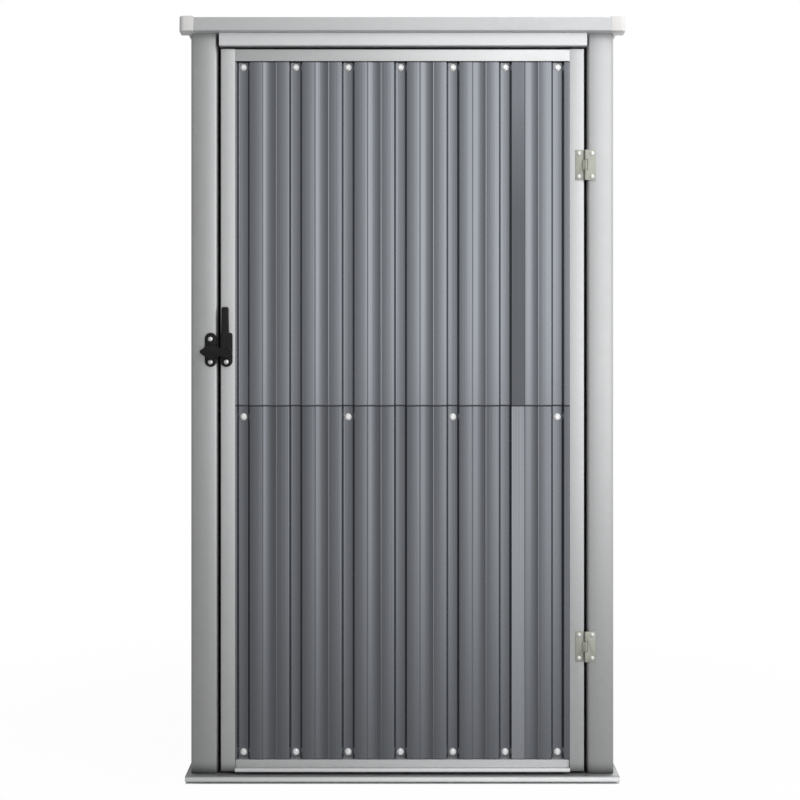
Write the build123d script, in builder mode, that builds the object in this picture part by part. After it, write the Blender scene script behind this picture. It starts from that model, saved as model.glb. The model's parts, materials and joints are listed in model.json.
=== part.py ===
from build123d import *
from math import atan, cos, floor, sin, tan
import os

# A small steel tool shed. Galvanised base rails and corner posts carry lapped profiled sheets on
# all sides, a pent roof sits in an edge trim with corner caps, and one door hangs at the front.
# The front faces -Y, the ground is Z = 0 and the origin is the middle of the ground plan.

# Overall sizes in millimetres
wall_width = 880.0          # outside the corner posts
wall_depth = 898.0          # front of the front posts to back of the back posts
seat_height = 1556.0        # roof seat at the front of the front posts
roof_fall = 75.0            # drop of the roof seat from front to back
frame_gauge = 2.0           # folded frame sections
fold_radius = 2.2           # outside of the folds that show
sheet_gauge = 1.5           # profiled sheets
seat_gap = 0.3              # between curved or lapped faces that lie on each other
overrun = 60.0              # how far cutting shapes and blanks pass the cut

# Roof edge
visor = 25.0                # front overhang, along the slope
back_overhang = 20.0
trim_height = 29.0
trim_overhang = 7.0         # side trims beyond the posts
trim_top_flange = 35.0
fascia_lap = 20.0           # bottom flange of the fascias inside the post line
cap_overhang = 22.0         # corner caps beyond the posts
cap_width = 30.0
cap_height = 32.0
cap_corner = 10.0
cap_edge = 2.0

# Corner posts
post_width = 56.0
post_depth = 46.0
post_crown = 1.5            # rise of the rolled front face
post_round = 7.0            # its rounded edges

# Base frame
base_height = 15.0
base_lip = 10.0
base_front_reach = 21.5     # flange in front of the front posts
base_front_flare = 3.0      # how far the front lip leans out at its foot
base_side_reach = 10.0
base_inside = 37.0          # width of the base rails inside the post line
base_foot_setback = 8.0
base_foot = 12.0            # width of the feet turned in under the legs
base_upright = 30.0         # flange behind the foot of the wall sheets

# Profiled sheets
rib_pitch = 109.2
valley_width = 22.6
web_run = 4.0
rib_depth = 9.0
dish_width = 27.0           # shallow hollow along the middle of each broad rib
dish_depth = 2.0
flat_rise = 1.0             # crown of the flats beside the hollow
sheet_margin = 5.0          # least flat strip at a sheet's side edge
sheet_inset = 3.0           # wall sheets inside the outer faces of the posts
lap_height = 780.0          # lower edge of the upper sheets
lap_length = 35.0
lap_gap = 2.5               # between the lapped sheets

# Rails inside the walls and under the roof
rail_height = 25.0
rail_depth = 22.0
mid_rail_height = 45.0
mid_rail_below_lap = 27.0

# Doorway and door frame
header_height = 28.0
header_proud = 12.0
header_depth = 40.0
header_end_gap = 0.5        # at the hinge side
header_latch_gap = 3.6
door_gap = 5.5
latch_side_gap = 6.0
door_depth = 22.0
stile_width = 30.0
stile_back_flange = 20.0
top_rail_face = 25.0
sheet_in_channel = 14.0     # how far the door sheets enter the stiles, on average
door_sheet_shift = 4.0      # door sheets left of the middle between the stiles
sheet_top_gap = 0.5
sheet_foot = 24.0           # lower edge of the door sheet above the door's underside
bottom_rail_height = 55.0
drip_lip_proud = 8.0
drip_lip_height = 7.5
sill_depth = 4.0            # face of the bottom rail behind the front of the door
sill_gap = 1.0              # its ledge below the sheets

# Hinges
hinge_low = 280.0           # middle of the lower hinge
hinge_from_top = 241.5      # middle of the upper hinge below the top of the door
leaf_height = 63.0
leaf_width = 21.0
leaf_gauge = 2.0
pin_proud = 5.5             # pin axis in front of the post
pin_inset = 2.75            # pin axis from the inner face of the post
knuckle_radius = 3.0
pin_radius = 1.8
pin_clearance = 0.06
knuckle_gap = 0.5
leaf_to_knuckle = 0.5

# Latch
latch_height = 893.6        # lever pivot above ground
latch_plate_width = 26.0
latch_plate_length = 71.0
latch_plate_gauge = 5.0
latch_plate_shoulder = 6.0
latch_plate_lift = 3.9      # middle of the plates above the pivot
latch_plate_edge = 1.0      # plate edge past the door edge
boss_radius = 5.0
lever_gauge = 8.0
lever_gap = 0.5
lever_clearance = 0.06
hub_radius = 12.5
arm_root_width = 17.0
arm_end_width = 14.4
arm_end_corner = 4.0
arm_aside = 2.0             # middle of the handle from the pivot, towards the post
arm_length = 93.0           # pivot to the end of the handle
tongue_width = 18.0
tongue_length = 54.5        # pivot to the tip of the tongue
tongue_pad_radius = 14.5    # broad part over the keeper
tongue_tip_radius = 4.5
keeper_width = 24.6
keeper_inset = 2.3          # keeper edge from the inner face of the post
keeper_proud = 4.0

# Derived places
slope = roof_fall / wall_depth
pitch_angle = atan(slope)
v_y = cos(pitch_angle)
v_z = -sin(pitch_angle)
along_slope = Vector(0, v_y, v_z)
roof_normal = Vector(0, -v_z, v_y)
front_reach = visor * v_y
back_reach = back_overhang * v_y - cap_height * v_z
wall_front = (front_reach - back_reach - wall_depth) / 2
wall_back = wall_front + wall_depth
wall_half = wall_width / 2
roof_run = wall_depth / v_y
post_inner = wall_half - post_width
post_middle = wall_half - post_width / 2
crown_radius = ((post_width / 2) ** 2 + post_crown**2) / (2 * post_crown)
web_angle = atan(rib_depth / web_run)
lap_step = sheet_gauge + lap_gap
header_top = seat_height + header_proud * slope
header_bottom = header_top - header_height
door_left = -post_inner + latch_side_gap
door_right = post_inner - door_gap
door_bottom = base_height + door_gap
door_top = header_bottom - door_gap
panel_left = door_left + stile_width
panel_right = door_right - stile_width
panel_middle = (panel_left + panel_right) / 2
panel_face = frame_gauge + seat_gap + flat_rise + lap_step
panel_back = panel_face + rib_depth + sheet_gauge
pin_x = post_inner - pin_inset
pin_y = wall_front - pin_proud
latch_x = door_left - latch_plate_edge + latch_plate_width / 2
rail_outer = wall_half - sheet_inset - rib_depth - sheet_gauge
rail_inner = rail_outer - rail_depth
back_inset = post_crown + sheet_inset
trim_outer = wall_half + trim_overhang
cap_outer = wall_half + cap_overhang
cap_inner = cap_outer - cap_width


def roof_point(u, v, w):
    """A place on the roof: across, down the slope from the front posts, and above the seat."""
    return Vector(u, wall_front, seat_height) + along_slope * v + roof_normal * w


def seat_z(y):
    """Height of the roof seat at a place between front and back."""
    return seat_height - (y - wall_front) * slope


roof_plane = Plane(origin=roof_point(0, 0, 0), x_dir=(1, 0, 0), z_dir=roof_normal)


def front_plane(proud):
    """An upright plane facing the front, in front of the posts."""
    return Plane.XZ.offset(proud - wall_front)


def save(piece, name):
    piece.part.label = name
    export_step(piece.part, f"parts/{name}.step")


os.makedirs("parts", exist_ok=True)


# Folded sections


def channel(plane, web, low_flange, high_flange, length, fold=0):
    """A folded channel: the web stands on the plane's y axis and both flanges point along x.

    Fold is the outer radius of the two folds, left square where nobody sees them.
    """
    gauge = frame_gauge
    inner_fold = max(fold - gauge, 0)
    with BuildPart() as section:
        with BuildSketch(plane):
            with BuildLine():
                FilletPolyline(
                    (0, 0),
                    (low_flange, 0),
                    (low_flange, gauge),
                    (gauge, gauge),
                    (gauge, web - gauge),
                    (high_flange, web - gauge),
                    (high_flange, web),
                    (0, web),
                    radius=(fold, 0, 0, inner_fold, inner_fold, 0, 0, fold),
                    close=True,
                )
            make_face()
        extrude(amount=length)
    return section


# Profiled sheets: narrow valleys between broad ribs, each rib with a shallow hollow along it


def draw_sheet_face(width, outward):
    """Draw one face of a profiled sheet from side to side, parallel to its outer face."""
    spare = width - 2 * sheet_margin - valley_width - web_run
    count = floor(spare / rib_pitch) + 1
    draft = outward * tan(web_angle / 2)
    mouth = (valley_width + web_run) / 2 - draft
    bed = (valley_width - web_run) / 2 - draft
    low = outward - rib_depth
    start = (-width / 2, outward)
    for index in range(count):
        middle = (index - (count - 1) / 2) * rib_pitch
        if index == 0:
            Line(start, (middle - mouth, outward))
        else:
            rib = middle - rib_pitch / 2
            left = rib - rib_pitch / 2 + mouth
            right = middle - mouth
            crease_left = rib - dish_width / 2
            crease_right = rib + dish_width / 2
            ThreePointArc(
                (left, outward), ((left + crease_left) / 2, outward + flat_rise), (crease_left, outward)
            )
            ThreePointArc((crease_left, outward), (rib, outward - dish_depth), (crease_right, outward))
            ThreePointArc(
                (crease_right, outward), ((crease_right + right) / 2, outward + flat_rise), (right, outward)
            )
        Polyline(
            (middle - mouth, outward),
            (middle - bed, low),
            (middle + bed, low),
            (middle + mouth, outward),
        )
    Line((middle + mouth, outward), (width / 2, outward))


def profiled_sheet(plane, width, length):
    """A sheet whose ribs run along the plane's normal, with its outside towards the plane's y."""
    with BuildPart() as sheet:
        with BuildSketch(plane):
            with BuildLine():
                draw_sheet_face(width, 0)
                draw_sheet_face(width, -sheet_gauge)
                Line((-width / 2, 0), (-width / 2, -sheet_gauge))
                Line((width / 2, 0), (width / 2, -sheet_gauge))
            make_face()
        extrude(amount=length)
    return sheet


# Base frame: inverted channels with a short front lip, standing on the turned-in feet of two legs


def base_rail(plane, reach, length, flare=0, upright_at=None, upright_ends=0):
    """A base rail; x runs inwards from the outside of the posts, y is height above ground.

    Flare leans its lip out. Behind a wall it also has an upright flange, which stops short of the
    posts at both ends.
    """
    gauge = frame_gauge
    top = base_height
    under = base_height - gauge
    lip = base_height - base_lip
    foot = base_foot_setback - reach
    inside = base_inside
    with BuildPart() as rail:
        with BuildSketch(plane):
            with BuildLine():
                Polyline(
                    (-reach, top),
                    (-reach - flare, lip),
                    (-reach - flare + gauge, lip),
                    (-reach + gauge, under),
                    (foot, under),
                    (foot, 0),
                    (foot + base_foot, 0),
                    (foot + base_foot, gauge),
                    (foot + gauge, gauge),
                    (foot + gauge, under),
                    (inside - gauge, under),
                    (inside - gauge, gauge),
                    (inside - base_foot, gauge),
                    (inside - base_foot, 0),
                    (inside, 0),
                    (inside, top),
                    close=True,
                )
            make_face()
        extrude(amount=length)
        if upright_at is not None:
            with BuildSketch(plane.offset(upright_ends)):
                with Locations((upright_at, top)):
                    Rectangle(gauge, base_upright, align=(Align.MIN, Align.MIN))
            extrude(amount=length - 2 * upright_ends)
    return rail


base_half = wall_half + base_side_reach
side_base_length = wall_depth - 2 * base_inside
side_upright_ends = post_depth - base_inside
sheet_depth = lap_step + rib_depth + sheet_gauge
side_upright = sheet_inset + sheet_depth
back_upright = back_inset + sheet_depth

front_origin = Plane(origin=(-base_half, wall_front, 0), x_dir=(0, 1, 0), z_dir=(1, 0, 0))
base_front_rail = base_rail(front_origin, base_front_reach, 2 * base_half, base_front_flare)
save(base_front_rail, "base_front_rail")

back_origin = Plane(origin=(base_half, wall_back, 0), x_dir=(0, -1, 0), z_dir=(-1, 0, 0))
base_back_rail = base_rail(
    back_origin, base_side_reach, 2 * base_half, 0, back_upright, base_half - post_inner
)
save(base_back_rail, "base_back_rail")

left_start = (-wall_half, wall_back - base_inside, 0)
left_origin = Plane(origin=left_start, x_dir=(1, 0, 0), z_dir=(0, -1, 0))
base_left_rail = base_rail(
    left_origin, base_side_reach, side_base_length, 0, side_upright, side_upright_ends
)
save(base_left_rail, "base_left_rail")

right_start = (wall_half, wall_front + base_inside, 0)
right_origin = Plane(origin=right_start, x_dir=(-1, 0, 0), z_dir=(0, 1, 0))
base_right_rail = base_rail(
    right_origin, base_side_reach, side_base_length, 0, side_upright, side_upright_ends
)
save(base_right_rail, "base_right_rail")


# Corner posts: rolled hollow sections with a crowned outer face, cut to the roof slope


def corner_post(x, y, outward):
    """A post whose crowned face touches y and looks along outward."""
    half = post_width / 2
    plane = Plane(origin=(x, y, base_height), x_dir=(outward, 0, 0), z_dir=(0, 0, 1))
    with BuildPart() as post:
        with BuildSketch(plane) as section:
            with BuildLine():
                ThreePointArc((-half, -post_crown), (0, 0), (half, -post_crown))
                Polyline(
                    (half, -post_crown),
                    (half, -post_depth),
                    (-half, -post_depth),
                    (-half, -post_crown),
                )
            make_face()
            fillet(section.vertices().group_by(Axis.Y)[-1], radius=post_round)
            offset(amount=-frame_gauge, mode=Mode.SUBTRACT)
        extrude(amount=seat_height + overrun)
        split(bisect_by=roof_plane, keep=Keep.BOTTOM)
    return post


for side, x in (("left", -post_middle), ("right", post_middle)):
    save(corner_post(x, wall_front, -1), f"front_{side}_post")
    save(corner_post(x, wall_back, 1), f"back_{side}_post")


# Wall sheets in two tiers, the upper one lapped over the lower one

side_width = wall_depth - 2 * post_depth
back_width = 2 * post_inner
side_middle = (wall_front + wall_back) / 2
nominal = wall_half - sheet_inset - lap_step
back_nominal = wall_back - back_inset - lap_step
walls = {
    "left": ((-nominal, side_middle), (0, 1, 0), side_width),
    "right": ((nominal, side_middle), (0, -1, 0), side_width),
    "back": ((0, back_nominal), (1, 0, 0), back_width),
}
for wall, (place, along, width) in walls.items():
    low_plane = Plane(origin=(*place, base_height), x_dir=along, z_dir=(0, 0, 1))
    lower_sheet = profiled_sheet(low_plane, width, lap_height + lap_length - base_height)
    save(lower_sheet, f"{wall}_wall_lower_sheet")

    lapped_place = Vector(*place, lap_height) + low_plane.y_dir * lap_step
    high_plane = Plane(origin=lapped_place, x_dir=along, z_dir=(0, 0, 1))
    blank = profiled_sheet(high_plane, width, seat_height + overrun - lap_height)
    with BuildPart() as upper_sheet:
        add(blank.part)
        split(bisect_by=roof_plane, keep=Keep.BOTTOM)
    save(upper_sheet, f"{wall}_wall_upper_sheet")


# Rails behind the lap and under the roof edge

mid_rail_z = lap_height - mid_rail_below_lap
lap_rail_outer = nominal - rib_depth - sheet_gauge
lap_rail_back = back_nominal - rib_depth - sheet_gauge
side_front = wall_front + post_depth
side_back = wall_back - post_depth

left_place = (-lap_rail_outer, side_back, mid_rail_z)
left_rail_plane = Plane(origin=left_place, x_dir=(1, 0, 0), z_dir=(0, -1, 0))
save(channel(left_rail_plane, mid_rail_height, rail_depth, rail_depth, side_width), "left_mid_rail")

right_place = (lap_rail_outer, side_front, mid_rail_z)
right_rail_plane = Plane(origin=right_place, x_dir=(-1, 0, 0), z_dir=(0, 1, 0))
save(channel(right_rail_plane, mid_rail_height, rail_depth, rail_depth, side_width), "right_mid_rail")

back_place = (post_inner, lap_rail_back, mid_rail_z)
back_rail_plane = Plane(origin=back_place, x_dir=(0, -1, 0), z_dir=(-1, 0, 0))
save(channel(back_rail_plane, mid_rail_height, rail_depth, rail_depth, back_width), "back_mid_rail")

top_start = (post_depth + rail_height * -v_z) / v_y
top_end = (wall_depth - post_depth) / v_y
top_length = top_end - top_start
left_top = roof_point(-rail_outer, top_end, -rail_height)
left_top_plane = Plane(origin=left_top, x_dir=(1, 0, 0), z_dir=-along_slope)
save(channel(left_top_plane, rail_height, rail_depth, rail_depth, top_length), "top_left_rail")

right_top = roof_point(rail_outer, top_start, -rail_height)
right_top_plane = Plane(origin=right_top, x_dir=(-1, 0, 0), z_dir=along_slope)
save(channel(right_top_plane, rail_height, rail_depth, rail_depth, top_length), "top_right_rail")

back_top_y = wall_back - back_inset - rib_depth - sheet_gauge
back_top = (post_inner, back_top_y, seat_z(back_top_y) - rail_height)
back_top_plane = Plane(origin=back_top, x_dir=(0, -1, 0), z_dir=(-1, 0, 0))
save(channel(back_top_plane, rail_height, rail_depth, rail_depth, back_width), "top_back_rail")

purlin_top = frame_gauge
purlin = roof_point(-rail_inner, roof_run / 2, purlin_top - rail_height)
purlin_plane = Plane(origin=purlin, x_dir=along_slope, z_dir=(1, 0, 0))
save(channel(purlin_plane, rail_height, rail_depth, rail_depth, 2 * rail_inner), "roof_purlin")


# Header over the doorway: a channel proud of the posts, its top on the roof slope

header_front = wall_front - header_proud
header_left = header_latch_gap - post_inner
header_length = post_inner - header_end_gap - header_left
header_fold = fold_radius - frame_gauge
header_plane = Plane(
    origin=(header_left, header_front, header_bottom), x_dir=(0, 1, 0), z_dir=(1, 0, 0)
)
header_back_height = header_height - header_depth * slope
header_inner_height = header_height - frame_gauge * slope
with BuildPart() as door_header:
    with BuildSketch(header_plane):
        with BuildLine():
            FilletPolyline(
                (0, 0),
                (header_depth, 0),
                (header_depth, frame_gauge),
                (frame_gauge, frame_gauge),
                (frame_gauge, header_inner_height - frame_gauge),
                (header_depth, header_back_height - frame_gauge),
                (header_depth, header_back_height),
                (0, header_height),
                radius=(fold_radius, 0, 0, header_fold, header_fold, 0, 0, fold_radius),
                close=True,
            )
        make_face()
    extrude(amount=header_length)
save(door_header, "door_header")


# Roof: one profiled sheet in channel trims, with a moulded cap on each corner

cap_length = visor + fascia_lap
cap_back_start = roof_run + back_overhang - cap_length
trim_start = fascia_lap
trim_length = cap_back_start - trim_start
trim_low_flange = trim_outer - rail_inner
fascia_length = 2 * cap_inner

fascia_plane = Plane(origin=roof_point(-cap_inner, -visor, 0), x_dir=along_slope, z_dir=(1, 0, 0))
front_fascia = channel(fascia_plane, trim_height, cap_length, cap_length, fascia_length, fold_radius)
save(front_fascia, "roof_front_fascia")

rear_edge = roof_point(cap_inner, roof_run + back_overhang, 0)
rear_plane = Plane(origin=rear_edge, x_dir=-along_slope, z_dir=(-1, 0, 0))
back_fascia = channel(rear_plane, trim_height, cap_length, cap_length, fascia_length, fold_radius)
save(back_fascia, "roof_back_fascia")

left_edge = roof_point(-trim_outer, cap_back_start, 0)
left_trim_plane = Plane(origin=left_edge, x_dir=(1, 0, 0), z_dir=-along_slope)
left_trim = channel(
    left_trim_plane, trim_height, trim_low_flange, trim_top_flange, trim_length, fold_radius
)
save(left_trim, "roof_left_trim")

right_edge = roof_point(trim_outer, trim_start, 0)
right_trim_plane = Plane(origin=right_edge, x_dir=(-1, 0, 0), z_dir=along_slope)
right_trim = channel(
    right_trim_plane, trim_height, trim_low_flange, trim_top_flange, trim_length, fold_radius
)
save(right_trim, "roof_right_trim")

sheet_start = fold_radius + sheet_top_gap - visor
sheet_end = roof_run + back_overhang - fold_radius - sheet_top_gap
roof_sheet_rise = frame_gauge + rib_depth + sheet_gauge
roof_sheet_plane = Plane(
    origin=roof_point(0, sheet_end, roof_sheet_rise), x_dir=(1, 0, 0), z_dir=-along_slope
)
roof_sheet_width = 2 * (cap_inner - sheet_top_gap)
roof_sheet = profiled_sheet(roof_sheet_plane, roof_sheet_width, sheet_end - sheet_start)
save(roof_sheet, "roof_sheet")


def corner_cap(side, start, outer_end):
    """A cap on one corner; side is -1 or 1 across, outer_end is -1 at the front and 1 behind."""
    middle = roof_point(side * (cap_inner + cap_outer) / 2, start + cap_length / 2, 0)
    plane = Plane(origin=middle, x_dir=(1, 0, 0), z_dir=roof_normal)
    outer = Vector(side, 0, 0) + along_slope * outer_end
    with BuildPart() as cap:
        with BuildSketch(plane):
            Rectangle(cap_width, cap_length)
        extrude(amount=cap_height)
        uprights = cap.edges().filter_by(Axis((0, 0, 0), roof_normal))
        fillet(uprights.sort_by(lambda edge: edge.center().dot(outer))[-1], radius=cap_corner)
        top = cap.faces().sort_by(lambda face: face.center().dot(roof_normal))[-1]
        chamfer(top.edges(), length=cap_edge)
    return cap


for name, side, start, outer_end in (
    ("front_left", -1, -visor, -1),
    ("front_right", 1, -visor, -1),
    ("back_left", -1, cap_back_start, 1),
    ("back_right", 1, cap_back_start, 1),
):
    save(corner_cap(side, start, outer_end), f"roof_{name}_cap")


# Door frame: channels that hold the edges of the door sheets

stile_length = door_top - door_bottom
left_stile_plane = Plane(origin=(door_left, wall_front, door_bottom), x_dir=(1, 0, 0), z_dir=(0, 0, 1))
left_stile = channel(
    left_stile_plane, door_depth, stile_width, stile_back_flange, stile_length, fold_radius
)
save(left_stile, "door_left_stile")

right_stile_place = (door_right, wall_front + door_depth, door_bottom)
right_stile_plane = Plane(origin=right_stile_place, x_dir=(-1, 0, 0), z_dir=(0, 0, 1))
right_stile = channel(
    right_stile_plane, door_depth, stile_back_flange, stile_width, stile_length, fold_radius
)
save(right_stile, "door_right_stile")

panel_width = panel_right - panel_left
top_rail_plane = Plane(origin=(panel_left, wall_front, door_top), x_dir=(0, 0, -1), z_dir=(1, 0, 0))
door_top_rail = channel(
    top_rail_plane, door_depth, top_rail_face, stile_back_flange, panel_width, fold_radius
)
save(door_top_rail, "door_top_rail")

door_mid_depth = door_depth - panel_back
mid_rail_left = door_left + stile_back_flange
mid_rail_right = door_right - stile_back_flange
door_mid_plane = Plane(
    origin=(mid_rail_left, wall_front + panel_back, mid_rail_z), x_dir=(0, 1, 0), z_dir=(1, 0, 0)
)
door_mid_rail = channel(
    door_mid_plane, mid_rail_height, door_mid_depth, door_mid_depth, mid_rail_right - mid_rail_left
)
save(door_mid_rail, "door_mid_rail")

bottom_rail_plane = Plane(
    origin=(panel_left, wall_front, door_bottom), x_dir=(0, 1, 0), z_dir=(1, 0, 0)
)
ledge = sheet_foot - sill_gap
under_ledge = ledge - frame_gauge
upright_back = panel_back + frame_gauge
with BuildPart() as door_bottom_rail:
    with BuildSketch(bottom_rail_plane):
        with BuildLine():
            Polyline(
                (-drip_lip_proud, 0),
                (-drip_lip_proud, drip_lip_height),
                (sill_depth, drip_lip_height),
                (sill_depth, ledge),
                (panel_back, ledge),
                (panel_back, bottom_rail_height),
                (upright_back, bottom_rail_height),
                (upright_back, under_ledge),
                (sill_depth + frame_gauge, under_ledge),
                (sill_depth + frame_gauge, drip_lip_height - frame_gauge),
                (frame_gauge - drip_lip_proud, drip_lip_height - frame_gauge),
                (frame_gauge - drip_lip_proud, 0),
                close=True,
            )
        make_face()
    extrude(amount=panel_width)
    with BuildSketch(bottom_rail_plane.offset(-sheet_in_channel)):
        with Locations((panel_back, under_ledge)):
            Rectangle(
                frame_gauge, bottom_rail_height - under_ledge, align=(Align.MIN, Align.MIN)
            )
    extrude(amount=panel_width + 2 * sheet_in_channel)
save(door_bottom_rail, "door_bottom_rail")


# Door sheets, lapped at the same height as the walls

door_sheet_width = panel_width + 2 * sheet_in_channel
door_nominal = wall_front + panel_face
door_sheet_x = panel_middle - door_sheet_shift
door_sheet_foot = door_bottom + sheet_foot
low_door_plane = Plane(
    origin=(door_sheet_x, door_nominal, door_sheet_foot), x_dir=(-1, 0, 0), z_dir=(0, 0, 1)
)
door_lower_sheet = profiled_sheet(
    low_door_plane, door_sheet_width, lap_height + lap_length - door_sheet_foot
)
save(door_lower_sheet, "door_lower_sheet")

high_door_plane = Plane(
    origin=(door_sheet_x, door_nominal - lap_step, lap_height), x_dir=(-1, 0, 0), z_dir=(0, 0, 1)
)
door_sheet_top = door_top - fold_radius - sheet_top_gap
door_upper_sheet = profiled_sheet(high_door_plane, door_sheet_width, door_sheet_top - lap_height)
save(door_upper_sheet, "door_upper_sheet")


# Hinges: the post leaf carries two knuckles and the pin, the door leaf the knuckle between them


def post_face(x, bottom):
    """The plan of a post's crowned face, a little outside it, to hollow the back of a plate."""
    with BuildSketch(Plane.XY.offset(bottom)) as plan:
        with Locations((x, wall_front + crown_radius)):
            Circle(crown_radius + seat_gap)
    return plan.sketch


knuckle_length = leaf_height / 3
leaf_front = wall_front - leaf_gauge
leaf_start = knuckle_radius + leaf_to_knuckle
neck_depth = wall_front - pin_y


def knuckle(bottom, side):
    """The plan of a knuckle and of the neck that ties it to the leaf on one side of the pin."""
    edge = Align.MIN if side > 0 else Align.MAX
    with BuildSketch(Plane.XY.offset(bottom)) as plan:
        with Locations((pin_x, pin_y)):
            Circle(knuckle_radius)
            Rectangle(leaf_start + leaf_gauge, knuckle_radius, align=(edge, Align.CENTER))
        with Locations((pin_x + side * leaf_start, pin_y)):
            Rectangle(leaf_gauge, neck_depth, align=(edge, Align.MIN))
    return plan.sketch


def pin_plan(bottom, radius):
    with BuildSketch(Plane.XY.offset(bottom)) as plan:
        with Locations((pin_x, pin_y)):
            Circle(radius)
    return plan.sketch


def hinge(middle, name):
    bottom = middle - leaf_height / 2
    barrel = knuckle_length - knuckle_gap
    with BuildPart() as post_leaf:
        with BuildSketch(Plane.XY.offset(bottom)):
            with Locations((pin_x + leaf_start, leaf_front)):
                Rectangle(leaf_width - leaf_start, leaf_gauge + post_crown, align=(Align.MIN, Align.MIN))
        extrude(amount=leaf_height)
        extrude(knuckle(bottom, 1), amount=barrel)
        extrude(knuckle(bottom + leaf_height - barrel, 1), amount=barrel)
        extrude(pin_plan(bottom, pin_radius), amount=leaf_height)
        extrude(post_face(post_middle, bottom), amount=leaf_height, mode=Mode.SUBTRACT)
    save(post_leaf, f"{name}_hinge_post_leaf")

    with BuildPart() as door_leaf:
        with BuildSketch(Plane.XY.offset(bottom)):
            with Locations((pin_x - leaf_start, leaf_front)):
                Rectangle(leaf_width - leaf_start, leaf_gauge, align=(Align.MAX, Align.MIN))
        extrude(amount=leaf_height)
        extrude(knuckle(bottom + knuckle_length, -1), amount=knuckle_length)
        bore = pin_plan(bottom, pin_radius + pin_clearance)
        extrude(bore, amount=leaf_height, mode=Mode.SUBTRACT)
    save(door_leaf, f"{name}_hinge_door_leaf")


hinge(hinge_low, "lower")
hinge(door_top - hinge_from_top, "upper")


# Latch: a bell-crank lever on the door whose tongue reaches over the keeper on the post

plate_middle = latch_height + latch_plate_lift
plate_bottom = plate_middle - latch_plate_length / 2
plate_round = latch_plate_width / 2
with BuildPart() as latch_base:
    with BuildSketch(front_plane(0)) as plate:
        with Locations((latch_x, plate_bottom + plate_round)):
            Circle(plate_round)
            Rectangle(
                latch_plate_width,
                latch_plate_length - plate_round,
                align=(Align.CENTER, Align.MIN),
            )
        fillet(plate.vertices().group_by(Axis.Y)[-1], radius=latch_plate_shoulder)
    extrude(amount=latch_plate_gauge)
    with BuildSketch(front_plane(latch_plate_gauge)):
        with Locations((latch_x, latch_height)):
            Circle(boss_radius)
    extrude(amount=lever_gap + lever_gauge)
save(latch_base, "latch_base")

keeper_x = -post_inner - keeper_inset - keeper_width / 2
arm_x = latch_x - arm_aside
arm_end = latch_height + arm_length
lever_plane = front_plane(latch_plate_gauge + lever_gap)
with BuildSketch(lever_plane) as handle:
    with BuildLine():
        FilletPolyline(
            (arm_x - arm_root_width / 2, latch_height),
            (arm_x - arm_end_width / 2, arm_end),
            (arm_x + arm_end_width / 2, arm_end),
            (arm_x + arm_root_width / 2, latch_height),
            radius=(0, arm_end_corner, arm_end_corner, 0),
            close=True,
        )
    make_face()
    with Locations((latch_x, latch_height)):
        Circle(hub_radius)
        Rectangle(latch_x - keeper_x, tongue_width, align=(Align.MAX, Align.CENTER))
with BuildSketch(lever_plane) as tongue_pad:
    with Locations((keeper_x, latch_height)):
        Circle(tongue_pad_radius)
    with Locations((latch_x - tongue_length + tongue_tip_radius, latch_height)):
        Circle(tongue_tip_radius)
    make_hull()
with BuildSketch(lever_plane) as pivot_bore:
    with Locations((latch_x, latch_height)):
        Circle(boss_radius + lever_clearance)
with BuildPart() as latch_lever:
    extrude(handle.sketch, amount=lever_gauge)
    extrude(tongue_pad.sketch, amount=lever_gauge)
    extrude(pivot_bore.sketch, amount=lever_gauge, mode=Mode.SUBTRACT)
save(latch_lever, "latch_lever")

ear_spacing = latch_plate_length - keeper_width
with BuildPart() as latch_keeper:
    with BuildSketch(front_plane(-post_crown)):
        with Locations((keeper_x, plate_middle)):
            SlotCenterToCenter(ear_spacing, keeper_width, rotation=90)
    extrude(amount=post_crown + keeper_proud)
    back = post_face(-post_middle, plate_bottom)
    extrude(back, amount=latch_plate_length, mode=Mode.SUBTRACT)
save(latch_keeper, "latch_keeper")
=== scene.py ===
import json
import math

import bmesh
import bpy
from mathutils import Matrix, Vector


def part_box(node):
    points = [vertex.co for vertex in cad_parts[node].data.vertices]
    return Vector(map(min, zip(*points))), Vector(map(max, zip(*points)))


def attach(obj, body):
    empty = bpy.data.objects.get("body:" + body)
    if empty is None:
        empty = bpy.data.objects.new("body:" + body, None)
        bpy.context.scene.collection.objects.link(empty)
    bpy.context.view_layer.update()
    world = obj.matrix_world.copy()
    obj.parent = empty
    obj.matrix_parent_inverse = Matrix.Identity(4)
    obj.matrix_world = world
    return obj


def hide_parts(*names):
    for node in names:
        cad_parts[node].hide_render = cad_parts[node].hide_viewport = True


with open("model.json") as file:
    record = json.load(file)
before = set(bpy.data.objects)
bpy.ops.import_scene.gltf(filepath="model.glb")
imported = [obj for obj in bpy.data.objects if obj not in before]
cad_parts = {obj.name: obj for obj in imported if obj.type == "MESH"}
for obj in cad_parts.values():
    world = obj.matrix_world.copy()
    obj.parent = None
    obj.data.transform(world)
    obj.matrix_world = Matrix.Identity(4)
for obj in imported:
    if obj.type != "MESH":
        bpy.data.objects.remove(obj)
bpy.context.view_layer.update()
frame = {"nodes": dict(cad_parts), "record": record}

# Base rails
# Folded galvanised channels that stand on the ground all round and carry the posts and sheets.
# The spangled zinc has a painted highlight on the low outer lip and painted shade on the flange
# above it.


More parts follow.
